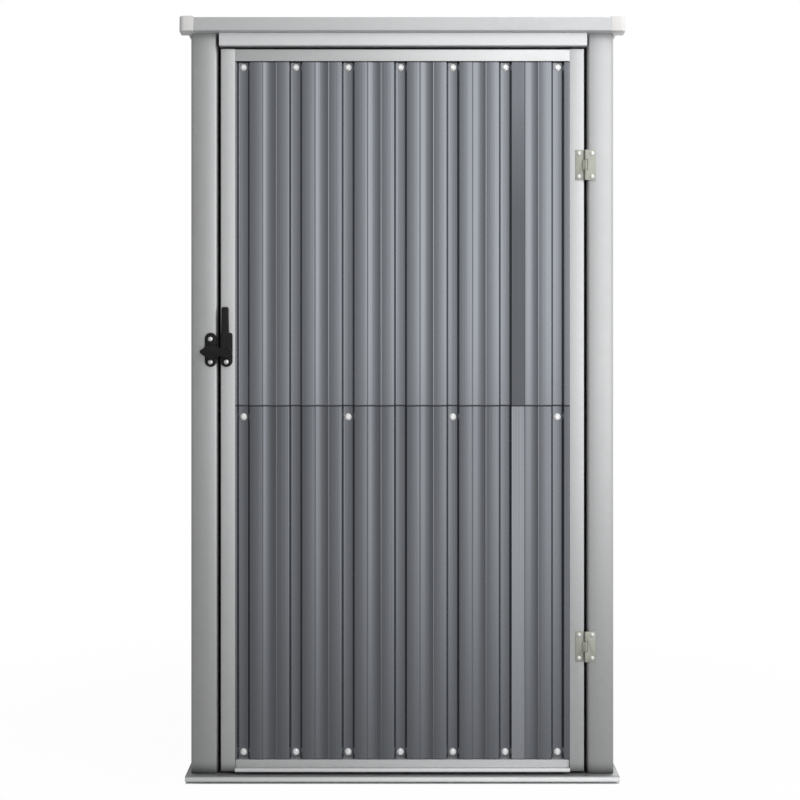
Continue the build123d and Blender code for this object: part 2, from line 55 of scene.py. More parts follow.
class Wire:
    """One output of a node tree, with the arithmetic that finishes and shapes are written in."""

    def __init__(self, board, socket):
        self.board = board
        self.socket = socket

    def maths(self, operation, *values):
        return self.board.add("ShaderNodeMath", {"operation": operation}, dict(enumerate(values)))

    def __add__(self, other):
        return self.maths("ADD", self, other)

    def __radd__(self, other):
        return self.maths("ADD", other, self)

    def __sub__(self, other):
        return self.maths("SUBTRACT", self, other)

    def __rsub__(self, other):
        return self.maths("SUBTRACT", other, self)

    def __mul__(self, other):
        return self.maths("MULTIPLY", self, other)

    def __rmul__(self, other):
        return self.maths("MULTIPLY", other, self)

    def __truediv__(self, other):
        return self.maths("DIVIDE", self, other)

    def __gt__(self, other):
        return self.maths("GREATER_THAN", self, other)

    def __lt__(self, other):
        return self.maths("LESS_THAN", self, other)

    def __abs__(self):
        return self.maths("ABSOLUTE", self)

    def clamped(self, low=0.0, high=1.0):
        limits = {"Value": self, "Min": low, "Max": high}
        return self.board.add("ShaderNodeClamp", None, limits)


class Board:
    """A node tree that is wired up in code, with named inputs when it makes a shape."""

    def __init__(self, tree):
        self.tree = tree
        self.tree.nodes.clear()
        self.names = {}

    def add(self, kind, settings=None, sockets=None, output=0):
        """One node: its settings first, then the values or links of its sockets."""
        node = self.tree.nodes.new(kind)
        for name, value in (settings or {}).items():
            setattr(node, name, value)
        for name, value in (sockets or {}).items():
            if isinstance(value, list):
                for wire in value:
                    self.tree.links.new(wire.socket, node.inputs[name])
            elif isinstance(value, Wire):
                self.tree.links.new(value.socket, node.inputs[name])
            else:
                node.inputs[name].default_value = value
        return Wire(self, node.outputs[output]) if len(node.outputs) else node

    def inputs(self, **kinds):
        """The named inputs of a shape."""
        for name, kind in kinds.items():
            made = self.tree.interface.new_socket(name=name, in_out="INPUT", socket_type=kind)
            self.names[name] = made.identifier
        group = self.tree.nodes.new("NodeGroupInput")
        return [Wire(self, group.outputs[name]) for name in kinds]

    def finish(self, geometry, material):
        """Make a shape real, give it its material and hand it out."""
        kind = "NodeSocketGeometry"
        self.tree.interface.new_socket(name="Geometry", in_out="OUTPUT", socket_type=kind)
        real = self.add("GeometryNodeRealizeInstances", None, {"Geometry": geometry})
        coats = {"Geometry": real, "Material": material}
        coated = self.add("GeometryNodeSetMaterial", None, coats)
        self.add("NodeGroupOutput", None, {"Geometry": coated})


def grey(level, warm=0.0):
    """A near-neutral colour; warm shifts it from blue to yellow."""
    return (level * (1 + warm), level, level * (1 - warm), 1.0)


def new_finish(name):
    """An empty material, its board and the place on the piece that is being shaded."""
    material = bpy.data.materials.new(name)
    material.use_nodes = True
    board = Board(material.node_tree)
    return material, board, board.add("ShaderNodeTexCoord", output="Object")


def split(board, vector):
    """The x, y and z of a vector."""
    x = board.add("ShaderNodeSeparateXYZ", None, {"Vector": vector}, "X")
    outputs = x.socket.node.outputs
    return x, Wire(board, outputs["Y"]), Wire(board, outputs["Z"])


def show(board, **sockets):
    """Close a finish with its surface shader."""
    spelled = {name.replace("_", " "): value for name, value in sockets.items()}
    surface = board.add("ShaderNodeBsdfPrincipled", None, spelled)
    board.add("ShaderNodeOutputMaterial", None, {"Surface": surface})


def blend(board, share, low, high):
    """A colour between two others."""
    return board.add("ShaderNodeMix", {"data_type": "RGBA"}, {0: share, 6: low, 7: high}, 2)


EVEN = (1.0, 1.0, 1.0)
ALONG_X = (0.03, 1.0, 1.0)
ALONG_Y = (1.0, 0.03, 1.0)
ALONG_Z = (1.0, 1.0, 0.03)


def noise(board, place, stretch, scale, detail=2.0):
    """Soft noise on the piece's own coordinates, drawn out along the small numbers of stretch."""
    mapped = board.add("ShaderNodeMapping", None, {"Vector": place, "Scale": stretch})
    sizes = {"Vector": mapped, "Scale": scale, "Detail": detail}
    return board.add("ShaderNodeTexNoise", None, sizes)


def bump(board, height, strength=1.0, distance=1.0, over=None):
    """A normal that follows a height, laid over another normal where one is given."""
    sockets = {"Strength": strength, "Distance": distance, "Height": height}
    if over:
        sockets["Normal"] = over
    return board.add("ShaderNodeBump", None, sockets)


SPANGLE_SCALE = 95.0
LINE_SCALE = 140.0
LINE_RELIEF = 0.0004
ZINC_CLOUD_SCALE = 5.0
COOL_DARK = -0.012
COOL_PAINTED_LIGHT = -0.009
COOL_LIGHT = -0.006


def galvanised(name, grain, light=0.44, roughness=0.34, painted_light_below=None, crown=None):
    """Dull zinc on folded steel; grain holds a small number along the length of the section.

    painted_light_below gives a height below which the zinc takes another level as painted light
    or shade, the height where that has faded out, and the level. Crown gives how far from the
    centre line the middle of a section lies, and how strongly the section shades as rounded
    across it.
    """
    material, board, place = new_finish(name)
    x, _, z = split(board, place)
    cells = {"Vector": place, "Scale": SPANGLE_SCALE, "Randomness": 1.0}
    flake = board.add("ShaderNodeTexVoronoi", None, cells, "Color")
    drawn = noise(board, place, grain, LINE_SCALE)
    cloud = noise(board, place, EVEN, ZINC_CLOUD_SCALE)
    share = (0.25 * flake + 0.35 * drawn + 0.40 * cloud).clamped()
    tone = blend(board, share, grey(light * 0.90, COOL_DARK), grey(light * 1.06, COOL_LIGHT))
    # Painted light or shade: below a height the zinc takes a lighter or darker level, fading out
    # above.
    if painted_light_below:
        full, none, level = painted_light_below
        near = ((none - z) / (none - full)).clamped()
        tone = blend(board, near * near, tone, grey(level, COOL_PAINTED_LIGHT))
    rounded = None
    if crown:
        middle, strength = crown
        off = abs(x) - middle
        rounded = bump(board, off * off * -strength)
    show(
        board,
        Base_Color=tone,
        Metallic=0.85,
        Roughness=(roughness + 0.08 * flake + 0.08 * drawn),
        Normal=bump(board, drawn, 0.05, LINE_RELIEF, rounded),
    )
    return material


EDGE = 0.0008
EDGE_STEPS = 2
EDGE_FULLNESS = 0.6
MERGE_UNDER = 1e-5
FLAT_UNDER = math.radians(0.5)
SMOOTH_UNDER = math.radians(38)
record = frame["record"]
body_of = {
    node: body for body, nodes in record["behaviour"]["bodies"].items() for node in nodes
}


def settle(piece, node, material):
    """Give a finished piece its material and its body, and hide the part that it stands for."""
    piece.data.materials.clear()
    piece.data.materials.append(material)
    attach(piece, body_of[node])
    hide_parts(node)
    return piece


def eased(node, material, width=EDGE):
    """The same section with its folds and cut edges eased, so that they catch the light."""
    form = bmesh.new()
    form.from_mesh(frame["nodes"][node].data)
    bmesh.ops.remove_doubles(form, verts=form.verts, dist=MERGE_UNDER)
    bmesh.ops.dissolve_limit(form, angle_limit=FLAT_UNDER, verts=form.verts, edges=form.edges)
    sharp = [e for e in form.edges if e.is_manifold and e.calc_face_angle() > SMOOTH_UNDER]
    bmesh.ops.bevel(
        form,
        geom=sharp,
        offset=width,
        segments=EDGE_STEPS,
        profile=EDGE_FULLNESS,
        affect="EDGES",
        clamp_overlap=True,
    )
    mesh = bpy.data.meshes.new(f"{node}_eased")
    form.to_mesh(mesh)
    form.free()
    mesh.shade_smooth()
    mesh.set_sharp_from_angle(angle=SMOOTH_UNDER)
    piece = bpy.data.objects.new(mesh.name, mesh)
    bpy.context.scene.collection.objects.link(piece)
    return settle(piece, node, material)


# Painted shade: the base zinc is dark on the flange, and a painted highlight lightens the lip
# below it.
LIP_HEIGHT = 0.0125
FLANGE_FROM = 0.0140
LIP_HIGHLIGHT = 0.65
BASE_ZINC = {"light": 0.32, "roughness": 0.48, "painted_light_below": (LIP_HEIGHT, FLANGE_FROM, LIP_HIGHLIGHT)}
foot_across = galvanised("foot_across", ALONG_X, **BASE_ZINC)
foot_deep = galvanised("foot_deep", ALONG_Y, **BASE_ZINC)
for node in ("base_front_rail", "base_back_rail"):
    eased(node, foot_across)
for node in ("base_left_rail", "base_right_rail"):
    eased(node, foot_deep)

# Corner posts
# Roll-formed galvanised sections with a crowned outer face. They stand on the base rails, and
# painted shade darkens the bottom of each.

CORNERS = ("front_left", "front_right", "back_left", "back_right")
# Painted shade at the bottom of each post, fading out upwards.
POST_SHADE_HEIGHT = 0.016
POST_SHADE_FADE = 0.045
POST_SHADE_LEVEL = 0.08
POST_ROUNDING = 1.3
post_low, post_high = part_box("front_right_post")
post_zinc = galvanised(
    "post_zinc",
    ALONG_Z,
    light=0.42,
    painted_light_below=(POST_SHADE_HEIGHT, POST_SHADE_FADE, POST_SHADE_LEVEL),
    crown=((post_low.x + post_high.x) / 2, POST_ROUNDING),
)
for corner in CORNERS:
    eased(f"{corner}_post", post_zinc)

# Wall sheets
# Thin steel roll-formed into broad ribs between narrow valleys and coated satin grey. The upper
# sheet of each wall laps over the lower one, with its lower edge turned in.

RIB_PITCH = 0.1092
VALLEY = 0.0226
WEB_RUN = 0.004
VALLEY_SAG = 0.0005
RIB_DEPTH = 0.009
DISH_WIDTH = 0.027
DISH_DEPTH = 0.002
CROWN = 0.0010
BEAD = 0.0005
BEAD_REACH = 0.0014
GAUGE = 0.0015
TUCK = 0.0023
TUCK_HEIGHT = 0.0032
TUCK_ROWS = 4
SHEET_MARGIN = 0.005
COLUMN_STEP = 0.0006
CLOSE_UNDER = 1e-6

ODD_VALLEY = 2
LEAN_ABOVE = 0.21
LEAN_LEAST = 0.3
LEAN_TOP = 1.43
LEAN_FADE = 0.25
LEAN_BELOW = -0.02
HIGHLIGHT_FROM = 0.45
HIGHLIGHT_REACH = 1.3
LAP_SHADOW_REACH = 0.0010
RAIL_SHADE = 0.0024
DOOR_SIDE = -0.40
door_sheet_low, door_sheet_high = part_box("door_upper_sheet")
lap_at = door_sheet_low.z
odd_valley_at = (door_sheet_low.x + door_sheet_high.x) / 2 + ODD_VALLEY * RIB_PITCH
flat_at = odd_valley_at + (VALLEY + WEB_RUN) / 2
flat_width = (RIB_PITCH - VALLEY - WEB_RUN - DISH_WIDTH) / 2


def uneven_flat(board, place):
    """One flat of the door that lost its crown: its height, and a painted highlight below the
    lap.
    """
    x, y, z = split(board, place)
    across = ((x - flat_at) / flat_width).clamped()
    above = z > lap_at
    # Painted highlight on this flat below the lap, fading downwards.
    below = (HIGHLIGHT_FROM + (lap_at - z) / HIGHLIGHT_REACH).clamped() * (1 - above)
    bent = ((LEAN_TOP - z) / LEAN_FADE).clamped()
    leaning = (LEAN_LEAST + (1 - LEAN_LEAST) * bent) * LEAN_ABOVE
    lean = above * leaning + below * LEAN_BELOW
    inside = (y < DOOR_SIDE) * (abs(across - 0.5) < 0.5)
    height = across * flat_width * lean - across * (1 - across) * (4 * CROWN)
    return height * inside, below * inside


def painted_shadow_lines(board, place):
    """Painted shadow along the lap and under the door's top rail."""
    _, y, z = split(board, place)
    at_lap = abs(z - lap_at) < LAP_SHADOW_REACH
    at_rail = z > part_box("door_top_rail")[0].z - RAIL_SHADE
    return (at_lap + at_rail * (y < DOOR_SIDE)).clamped()


HIGHLIGHT_GREY = (0.27, 0.28, 0.30, 1.0)
SHADOW_GREY = grey(0.01)
PAINTED_LIGHT_DEPTH = 0.8
PEEL_SCALE = 900.0
PEEL_RELIEF = 0.0002
DRAWN_SCALE = 330.0
DRAWN_RELIEF = 0.0006
DRAWN_OUT = (1.0, 1.0, 0.004)
ROLL_SCALE = 60.0
ROLLED_OUT = (1.0, 1.0, 0.02)
COAT_CLOUD_SCALE = 3.0
COAT_CLOUD_OUT = (1.0, 1.0, 0.5)


def coated_steel(name, dark, light):
    """Satin grey coil coating over rolled steel."""
    material, board, place = new_finish(name)
    peel = noise(board, place, EVEN, PEEL_SCALE, 3.0)
    roll = noise(board, place, ROLLED_OUT, ROLL_SCALE)
    cloud = noise(board, place, COAT_CLOUD_OUT, COAT_CLOUD_SCALE)
    drawn = noise(board, place, DRAWN_OUT, DRAWN_SCALE)
    share = (0.3 * peel + 0.4 * roll + 0.3 * cloud).clamped()
    even = blend(board, share, dark, light)
    height, painted_highlight = uneven_flat(board, place)
    # Painted highlight below the lap on the uneven flat.
    pale = blend(board, painted_highlight * PAINTED_LIGHT_DEPTH, even, HIGHLIGHT_GREY)
    # Painted shadow along the lap and under the door's top rail.
    tone = blend(board, painted_shadow_lines(board, place) * PAINTED_LIGHT_DEPTH, pale, SHADOW_GREY)
    lines = bump(board, drawn, 0.3, DRAWN_RELIEF, over=bump(board, height))
    show(
        board,
        Base_Color=tone,
        Metallic=0.85,
        Roughness=(0.16 + 0.07 * roll + 0.05 * cloud),
        Normal=bump(board, peel, 0.06, PEEL_RELIEF, over=lines),
    )
    return material


def new_shape(name, **kinds):
    """An empty node tree with named inputs."""
    tree = bpy.data.node_groups.new(name, "GeometryNodeTree")
    board = Board(tree)
    return board, board.inputs(**kinds)


def profile_board():
    """Node tree of one profiled sheet: x across, y outwards, z along the ribs.

    Fall slopes the upper edge and Tuck turns the lower edge in.
    """
    number = "NodeSocketFloat"
    board, wires = new_shape(
        "profiled_sheet",
        Width=number,
        Length=number,
        Phase=number,
        Fall=number,
        Tuck=number,
        Columns="NodeSocketInt",
        Coat="NodeSocketMaterial",
    )
    width, length, phase, fall, tuck, columns, coat = wires
    start = board.add("ShaderNodeCombineXYZ", None, {"X": width * -0.5})
    end = board.add("ShaderNodeCombineXYZ", None, {"X": width * 0.5})
    line = board.add(
        "GeometryNodeMeshLine",
        {"mode": "END_POINTS"},
        {"Count": columns, "Start Location": start, "Offset": end},
    )
    x, _, z = split(board, board.add("GeometryNodeInputPosition"))
    shifted = x + phase
    from_valley = abs(shifted.maths("WRAP", shifted, RIB_PITCH / 2, -RIB_PITCH / 2))
    bed = (VALLEY - WEB_RUN) / 2
    mouth = (VALLEY + WEB_RUN) / 2
    web = ((from_valley - bed) / WEB_RUN).clamped()
    crease = RIB_PITCH / 2 - DISH_WIDTH / 2
    on_flat = ((from_valley - mouth) / (crease - mouth)).clamped()
    rise = on_flat * (1 - on_flat) * (4 * CROWN)
    in_dish = ((from_valley - crease) / (DISH_WIDTH / 2)).clamped()
    dish = in_dish * (2 - in_dish) * DISH_DEPTH
    bead = (1 - abs(from_valley - crease) / BEAD_REACH).clamped() * BEAD
    on_bed = (from_valley / bed).clamped()
    sag = (1 - on_bed * on_bed) * VALLEY_SAG
    y = (web - 1) * RIB_DEPTH + rise + bead - dish - sag
    place = board.add("ShaderNodeCombineXYZ", None, {"X": x, "Y": y})
    drawn = board.add("GeometryNodeSetPosition", None, {"Geometry": line, "Position": place})
    edge_step = TUCK_HEIGHT / TUCK_ROWS
    top = True
    for step in [edge_step] * TUCK_ROWS + [length - TUCK_HEIGHT]:
        up = board.add("ShaderNodeCombineXYZ", None, {"Z": step})
        drawn = board.add(
            "GeometryNodeExtrudeMesh",
            {"mode": "EDGES"},
            {"Mesh": drawn, "Selection": top, "Offset": up},
        )
        top = Wire(board, drawn.socket.node.outputs["Top"])
    to_edge = (1 - z / TUCK_HEIGHT).clamped()
    inwards = board.add("ShaderNodeCombineXYZ", None, {"Y": -1 * tuck * to_edge * to_edge})
    pressed = board.add("GeometryNodeSetPosition", None, {"Geometry": drawn, "Offset": inwards})
    drop = board.add("ShaderNodeCombineXYZ", None, {"Z": x * fall})
    skin = board.add(
        "GeometryNodeSetPosition", None, {"Geometry": pressed, "Selection": top, "Offset": drop}
    )
    thick = board.add(
        "GeometryNodeExtrudeMesh",
        {"mode": "FACES"},
        {"Mesh": skin, "Offset Scale": -GAUGE, "Individual": False},
    )
    turned = board.add("GeometryNodeFlipFaces", None, {"Mesh": thick})
    shell = board.add("GeometryNodeJoinGeometry", None, {"Geometry": [skin, turned]})
    closed = board.add(
        "GeometryNodeMergeByDistance", None, {"Geometry": shell, "Distance": CLOSE_UNDER}
    )
    board.finish(closed, coat)
    return board


def grow(name, board, mesh=None, **values):
    """Run a node tree on a seed mesh and keep the plain mesh that it makes."""
    piece = bpy.data.objects.new(name, mesh or bpy.data.meshes.new(name))
    bpy.context.scene.collection.objects.link(piece)
    modifier = piece.modifiers.new("grow", "NODES")
    modifier.node_group = board.tree
    for key, value in values.items():
        modifier[board.names[key]] = value
    bpy.context.view_layer.update()
    evaluated = piece.evaluated_get(bpy.context.evaluated_depsgraph_get())
    made = bpy.data.meshes.new_from_object(evaluated)
    piece.modifiers.remove(modifier)
    piece.data = made
    made.name = name
    return piece


def face_outwards(mesh):
    """Turn every face of a closed mesh outwards."""
    form = bmesh.new()
    form.from_mesh(mesh)
    bmesh.ops.recalc_face_normals(form, faces=form.faces)
    form.to_mesh(mesh)
    form.free()


# Painted shade: the lower sheets and the roof take a darker copy of the coat than the upper
# sheets.
LOWER_DARK = (0.122, 0.129, 0.142, 1.0)
LOWER_LIGHT = (0.156, 0.165, 0.181, 1.0)
UPPER_DARK = (0.160, 0.169, 0.186, 1.0)
UPPER_LIGHT = (0.206, 0.218, 0.239, 1.0)
shaded_coat = coated_steel("shaded_coat", LOWER_DARK, LOWER_LIGHT)
lit_coat = coated_steel("lit_coat", UPPER_DARK, UPPER_LIGHT)
sheet_shape = profile_board()
laid = {}


def profiled_sheet(node, place, across, outward, width, length, lapped, fall=0.0):
    """One sheet set in place: place is the middle of its lower edge on the nominal rib face."""
    spare = width - 2 * SHEET_MARGIN - VALLEY - WEB_RUN
    valleys = math.floor(spare / RIB_PITCH) + 1
    coat = lit_coat if lapped else shaded_coat
    piece = grow(
        f"{node}_formed",
        sheet_shape,
        Width=width,
        Length=length,
        Phase=0.0 if valleys % 2 else RIB_PITCH / 2,
        Fall=fall,
        Tuck=TUCK if lapped else 0.0,
        Columns=round(width / COLUMN_STEP),
        Coat=coat,
    )
    across = Vector(across)
    outward = Vector(outward)
    along = across.cross(outward)
    laid[node] = (Vector(place), across, outward, along, length, fall, valleys)
    turn = Matrix((across, outward, along)).transposed().to_4x4()
    piece.data.transform(Matrix.Translation(place) @ turn)
    face_outwards(piece.data)
    piece.data.shade_smooth()
    piece.data.set_sharp_from_angle(angle=SMOOTH_UNDER)
    return settle(piece, node, coat)


front_post_low, front_post_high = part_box("front_left_post")
back_post_low, back_post_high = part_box("back_left_post")
slope = (front_post_high.z - back_post_high.z) / (back_post_low.y - front_post_low.y)

WALLS = {
    "left": ((0, 1, 0), (-1, 0, 0)),
    "right": ((0, -1, 0), (1, 0, 0)),
    "back": ((1, 0, 0), (0, 1, 0)),
}
for wall, (across, outward) in WALLS.items():
    for tier in ("lower", "upper"):
        node = f"{wall}_wall_{tier}_sheet"
        low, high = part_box(node)
        middle = (low + high) / 2
        size = high - low
        width = abs(size.dot(Vector(across)))
        thick = abs(size.dot(Vector(outward)))
        place = middle + Vector(outward) * (thick / 2 - CROWN)
        place.z = low.z
        length = size.z
        fall = 0.0
        if tier == "upper" and wall != "back":
            fall = -slope * Vector(across).y
            length = size.z - slope * width / 2
        profiled_sheet(node, place, across, outward, width, length, tier == "upper", fall)

# Rails behind the sheets and header
# Galvanised channels behind the laps and under the roof edge, one purlin across the roof, and
# the header that closes the doorway above the door.

zinc_across = galvanised("zinc_across", ALONG_X)
zinc_deep = galvanised("zinc_deep", ALONG_Y)
for node in ("left_mid_rail", "right_mid_rail", "top_left_rail", "top_right_rail"):
    eased(node, zinc_deep)
for node in ("back_mid_rail", "top_back_rail", "roof_purlin"):
    eased(node, zinc_across)
# Painted light: the header's zinc is set far lighter than the rails behind it.
header_zinc = galvanised("header_zinc", ALONG_X, light=0.76, roughness=0.62)
eased("door_header", header_zinc)

# Roof
# One profiled sheet laid in galvanised channel trims, with a light grey moulded plastic cap
# pushed over each corner.

GRAIN_SCALE = 1400.0
GRAIN_RELIEF = 0.0002
PLASTIC_CLOUD_SCALE = 20.0


def moulded_plastic(name, level, roughness, warm=0.0, sheen=0.5):
    """Fine-grained moulded plastic."""
    material, board, place = new_finish(name)
    grain = noise(board, place, EVEN, GRAIN_SCALE)
    cloud = noise(board, place, EVEN, PLASTIC_CLOUD_SCALE)
    show(
        board,
        Base_Color=blend(board, cloud, grey(level * 0.93, warm), grey(level * 1.07, warm)),
        Metallic=0.0,
        Roughness=(roughness + 0.12 * grain),
        Specular_IOR_Level=sheen,
        Normal=bump(board, grain, 0.12, GRAIN_RELIEF),
    )
    return material


cap_plastic = moulded_plastic("cap_plastic", level=0.66, roughness=0.42, warm=0.01)
# Painted light: the fascia's zinc is set lighter than the rails behind it.
fascia_zinc = galvanised("fascia_zinc", ALONG_X, light=0.60, roughness=0.62)
low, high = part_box("roof_sheet")
across = Vector((1, 0, 0))
tilt = math.atan(slope)
normal = Vector((0, math.sin(tilt), math.cos(tilt)))
thick = RIB_DEPTH + GAUGE + CROWN
front_edge = Vector((0, low.y + thick * math.sin(tilt), high.z))
back_edge = Vector((0, high.y, low.z + thick * math.cos(tilt)))
profiled_sheet(
    "roof_sheet",
    back_edge - normal * CROWN,
    across,
    normal,
    high.x - low.x,
    (back_edge - front_edge).length,
    False,
)
for node in ("roof_front_fascia", "roof_back_fascia"):
    eased(node, fascia_zinc)
for node in ("roof_left_trim", "roof_right_trim"):
    eased(node, zinc_deep)
for corner in CORNERS:
    eased(f"roof_{corner}_cap", cap_plastic)

# Door
# Galvanised channel stiles, with a top, a mid and a bottom rail between them, hold the two lapped
# sheets. The bottom rail has a drip lip along its lower edge, made bright by a painted highlight.

# Painted shade at the bottom of each stile; the stiles' zinc is also set lighter than the hidden
# rails, as painted light.
STILE_SHADE_HEIGHT = 0.021
STILE_SHADE_FADE = 0.044
STILE_SHADE_LEVEL = 0.16
DRIP_LIP_HEIGHT = 0.0275
DRIP_LIP_FADE = 0.0285
DRIP_LIP_HIGHLIGHT = 0.78
stile_foot_shade = (STILE_SHADE_HEIGHT, STILE_SHADE_FADE, STILE_SHADE_LEVEL)
stile_zinc = galvanised("stile_zinc", ALONG_Z, light=0.50, painted_light_below=stile_foot_shade)
for node in ("door_left_stile", "door_right_stile"):
    eased(node, stile_zinc)
# Painted light: the door rails take a lighter zinc than the hidden rails.
rail_zinc = galvanised("rail_zinc", ALONG_X, light=0.54)
for node in ("door_top_rail", "door_mid_rail"):
    eased(node, rail_zinc)
# Painted highlight: the drip lip at the bottom of the sill takes a much lighter zinc level.
drip_lip_highlight = (DRIP_LIP_HEIGHT, DRIP_LIP_FADE, DRIP_LIP_HIGHLIGHT)
sill_zinc = galvanised("sill_zinc", ALONG_X, light=0.50, roughness=0.5, painted_light_below=drip_lip_highlight)
eased("door_bottom_rail", sill_zinc)
for tier in ("lower", "upper"):
    node = f"door_{tier}_sheet"
    low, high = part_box(node)
    place = Vector(((low.x + high.x) / 2, low.y + CROWN, low.z))
    profiled_sheet(
        node, place, (-1, 0, 0), (0, -1, 0), high.x - low.x, high.z - low.z, tier == "upper"
    )

# Hinges
# Two zinc-plated steel butt hinges, riveted to the right post and the door. The post leaf holds
# the pin and the door leaf turns on it.

LEAF_EDGE = 0.0004
PLATING_DARK = (0.29, 0.30, 0.26, 1.0)
PLATING_LIGHT = (0.38, 0.39, 0.34, 1.0)
PLATING_SCALE = 70.0
plating, board, place = new_finish("plated_steel")
cloud = noise(board, place, EVEN, PLATING_SCALE, 4.0)
tone = blend(board, cloud, PLATING_DARK, PLATING_LIGHT)
show(board, Base_Color=tone, Metallic=0.6, Roughness=(0.42 + 0.14 * cloud))
for hinge in ("lower", "upper"):
    for leaf in ("post", "door"):
        eased(f"{hinge}_hinge_{leaf}_leaf", plating, LEAF_EDGE)

# Latch
# A black moulded lever that turns on a base plate on the door, and its keeper on the left post.
# Rivets hold the plate and the keeper.

LATCH_EDGE = 0.001
latch_black = moulded_plastic("latch_black", level=0.007, roughness=0.40, sheen=0.2)
for node in ("latch_base", "latch_lever", "latch_keeper"):
    eased(node, latch_black, LATCH_EDGE)

# Screws and rivets
# Bright hex-head screws with a washer hold the sheets to the rails behind, in the valleys; domed
# rivets hold the hinges and the latch.

FIXING_CLOUD_SCALE = 300.0


def bright_zinc(name, light, metal):
    """Zinc plating on small fixings."""
    material, board, place = new_finish(name)
    cloud = noise(board, place, EVEN, FIXING_CLOUD_SCALE)
    tone = blend(board, cloud, grey(light * 0.92), grey(light * 1.08))
    show(board, Base_Color=tone, Metallic=metal, Roughness=(0.26 + 0.12 * cloud))
    return material


def stand_on_points(board, points, form, metal):
    """Set a form on every point, upright on its facing, and finish the tree."""
    facing = board.add(
        "GeometryNodeInputNamedAttribute", {"data_type": "FLOAT_VECTOR"}, {"Name": "facing"}
    )
    upright = board.add(
        "FunctionNodeAlignRotationToVector", {"axis": "Z"}, {"Vector": facing}
    )
    angle = board.add("FunctionNodeRandomValue", {"data_type": "FLOAT"}, {2: 0.0, 3: math.tau}, 1)
    spin = board.add("FunctionNodeAxisAngleToRotation", None, {"Angle": angle})
    turned = board.add(
        "FunctionNodeRotateRotation",
        {"rotation_space": "LOCAL"},
        {"Rotation": upright, "Rotate By": spin},
    )
    spread = board.add(
        "GeometryNodeInstanceOnPoints",
        None,
        {"Points": points, "Instance": form, "Rotation": turned},
    )
    board.finish(spread, metal)
    return board


def cone(board, sides, bottom, top, depth, lift=0.0):
    """A tapered disc or block that starts at a height above the seat."""
    form = board.add(
        "GeometryNodeMeshCone",
        {"fill_type": "NGON"},
        {"Vertices": sides, "Radius Bottom": bottom, "Radius Top": top, "Depth": depth},
    )
    place = board.add("ShaderNodeCombineXYZ", None, {"Z": lift})
    return board.add("GeometryNodeTransform", None, {"Geometry": form, "Translation": place})


WASHER_SIDES = 20
WASHER_TAPER = 0.88
WASHER_RISE = 0.3
HEAD_SIDES = 6
HEAD_FROM = 0.25
HEAD_RISE = 0.6
DOME_TAPER = 0.72
DOME_FROM = 0.85
DOME_RISE = 0.2


def screw_board():
    """Washer, hexagon and a low dome on top, each rising by a share of the height."""
    number = "NodeSocketFloat"
    board, (points, washer, head, height, metal) = new_shape(
        "hex_screw",
        Points="NodeSocketGeometry",
        Washer=number,
        Head=number,
        Height=number,
        Metal="NodeSocketMaterial",
    )
    seat = cone(board, WASHER_SIDES, washer, washer * WASHER_TAPER, height * WASHER_RISE)
    block = cone(board, HEAD_SIDES, head, head, height * HEAD_RISE, height * HEAD_FROM)
    dome = cone(
        board, HEAD_SIDES, head, head * DOME_TAPER, height * DOME_RISE, height * DOME_FROM
    )
    whole = board.add("GeometryNodeJoinGeometry", None, {"Geometry": [seat, block, dome]})
    return stand_on_points(board, points, whole, metal)


def rivet_board():
    """A flattened ball, half sunk."""
    number = "NodeSocketFloat"
    board, (points, radius, flat, metal) = new_shape(
        "rivet",
        Points="NodeSocketGeometry",
        Radius=number,
        Flat=number,
        Metal="NodeSocketMaterial",
    )
    ball = board.add(
        "GeometryNodeMeshUVSphere", None, {"Segments": 18, "Rings": 8, "Radius": radius}
    )
    squash = board.add("ShaderNodeCombineXYZ", None, {"X": 1.0, "Y": 1.0, "Z": flat})
    head = board.add("GeometryNodeTransform", None, {"Geometry": ball, "Scale": squash})
    return stand_on_points(board, points, head, metal)


def seeds(name, places):
    """Points with the direction that each fixing faces."""
    mesh = bpy.data.meshes.new(name)
    mesh.from_pydata([place for place, _ in places], [], [])
    facing = mesh.attributes.new("facing", "FLOAT_VECTOR", "POINT")
    for value, (_, outward) in zip(facing.data, places):
        value.vector = outward
    return mesh


FIXING_SMOOTH_UNDER = math.radians(30)


def fix(name, board, body, places, **values):
    """All the fixings of one kind on one body, as one piece."""
    piece = grow(name, board, seeds(f"{name}_points", places), **values)
    face_outwards(piece.data)
    piece.data.shade_smooth()
    piece.data.set_sharp_from_angle(angle=FIXING_SMOOTH_UNDER)
    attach(piece, body)


hex_screw = screw_board()
rivet = rivet_board()
screw_zinc = bright_zinc("screw_zinc", light=0.84, metal=0.35)
rivet_zinc = bright_zinc("rivet_zinc", light=0.62, metal=0.5)
SCREW = {"Washer": 0.0076, "Head": 0.0058, "Height": 0.0055, "Metal": screw_zinc}
RIVET = {"Radius": 0.0050, "Flat": 0.40, "Metal": rivet_zinc}
FRONT = Vector((0, -1, 0))


def row(node, height, step=1, from_top=False):
    """Screws in the valleys of one sheet, at a height above its lower or below its upper edge."""
    place, across, outward, along, length, fall, valleys = laid[node]
    for k in range(0, valleys, step):
        x = (k - (valleys - 1) / 2) * RIB_PITCH
        z = length + fall * x - height if from_top else height
        bed = place + across * x + along * z - outward * (RIB_DEPTH + VALLEY_SAG)
        yield bed, outward


LAP_ROW = 0.058
DOOR_FOOT_ROW = 0.0125
DOOR_HEAD_ROW = 0.034
WALL_FOOT_ROW = 0.016
WALL_HEAD_ROW = 0.014
places = list(row("door_lower_sheet", DOOR_FOOT_ROW))
places += row("door_lower_sheet", LAP_ROW, step=2, from_top=True)
places += row("door_upper_sheet", DOOR_HEAD_ROW, from_top=True)
fix("door_screws", hex_screw, "door", places, **SCREW)

